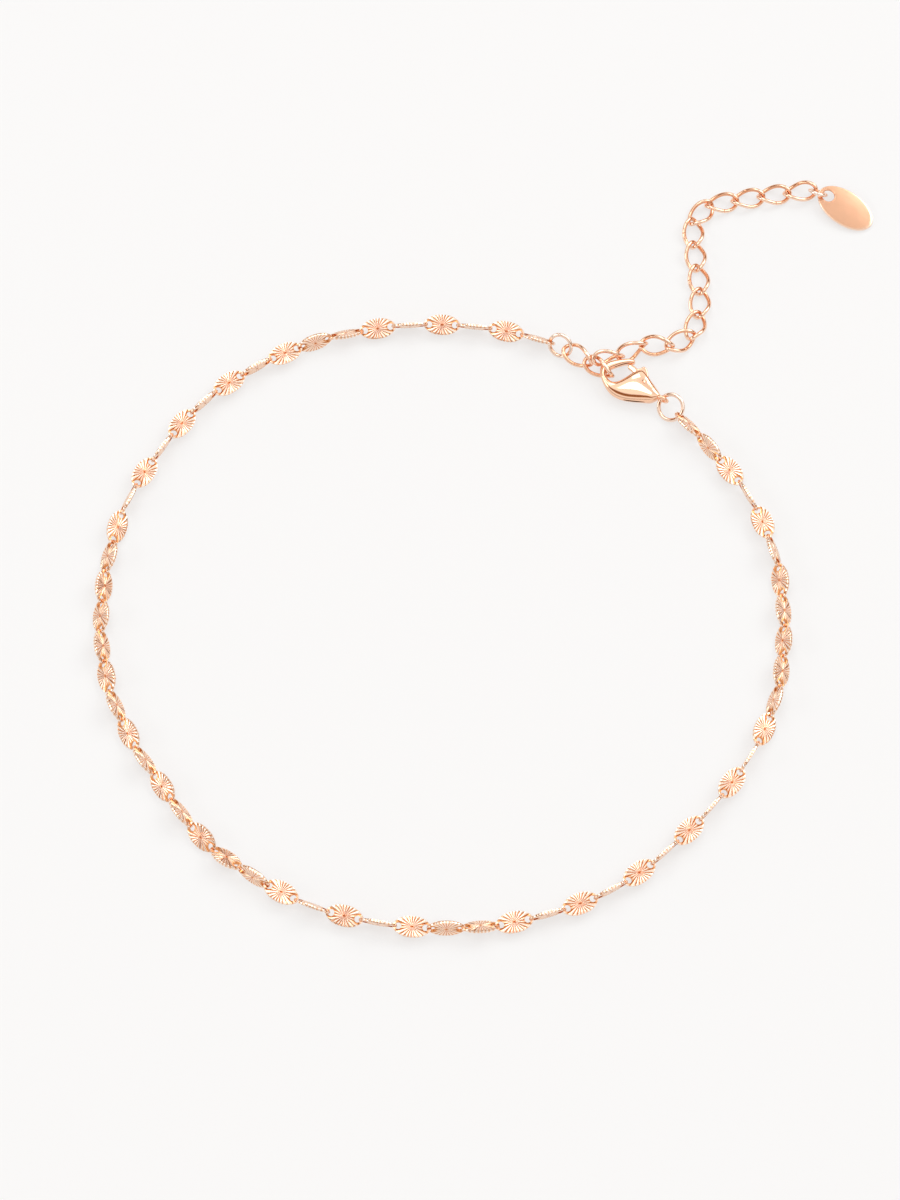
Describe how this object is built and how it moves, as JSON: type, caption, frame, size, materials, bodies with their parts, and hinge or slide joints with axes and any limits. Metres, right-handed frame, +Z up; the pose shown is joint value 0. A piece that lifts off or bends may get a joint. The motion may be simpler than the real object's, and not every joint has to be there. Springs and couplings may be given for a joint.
{
  "type": "chain anklet",
  "caption": "Rose gold chain anklet of diamond-cut oval plate links, closed by a lobster clasp on a curb-link extender that ends in a plain oval tag.",
  "frame": {"origin": "middle of the underside of the whole anklet as it lies", "axes": "+Z up out of the surface that it lies on, +Y to the picture's top, +X to its right, where the extender's tag lies"},
  "size_m": [0.0876, 0.0926, 0.0031],
  "materials": {
    "cut_plates": "rose gold, diamond cut with fine rays, bright",
    "ring_wire": "rose gold, polished round wire",
    "link_wire": "rose gold, polished round wire",
    "tag_metal": "rose gold, polished sheet with a bright edge",
    "clasp_metal": "rose gold, cast and polished",
    "pin_metal": "rose gold, plain riveted pin"
  },
  "bodies": {
    "anklet": {"plate_chain_left": "cut_plates", "plate_chain_right": "cut_plates", "end_ring": "ring_wire", "clasp_ring": "ring_wire", "tag_ring": "ring_wire", "tag": "tag_metal", "clasp_body": "clasp_metal", "clasp_pin": "pin_metal", "extender_link_01": "link_wire", "extender_link_02": "link_wire", "extender_link_03": "link_wire", "extender_link_04": "link_wire", "extender_link_05": "link_wire", "extender_link_06": "link_wire", "extender_link_07": "link_wire", "extender_link_08": "link_wire", "extender_link_09": "link_wire", "extender_link_10": "link_wire", "extender_link_11": "link_wire", "extender_link_12": "link_wire", "extender_link_13": "link_wire", "extender_link_14": "link_wire", "extender_link_15": "link_wire", "extender_link_16": "link_wire"},
    "lever": {"clasp_lever": "clasp_metal"}
  },
  "joints": [
    {"name": "lever_hinge", "type": "hinge", "parent": "anklet", "child": "lever", "pos_m": [0.01731, 0.01987, 0.00144], "axis": [-0.0979, -0.1834, 0.9781], "range_deg": [0, 28], "stiffness_Nm_per_rad": 0.002}
  ]
}
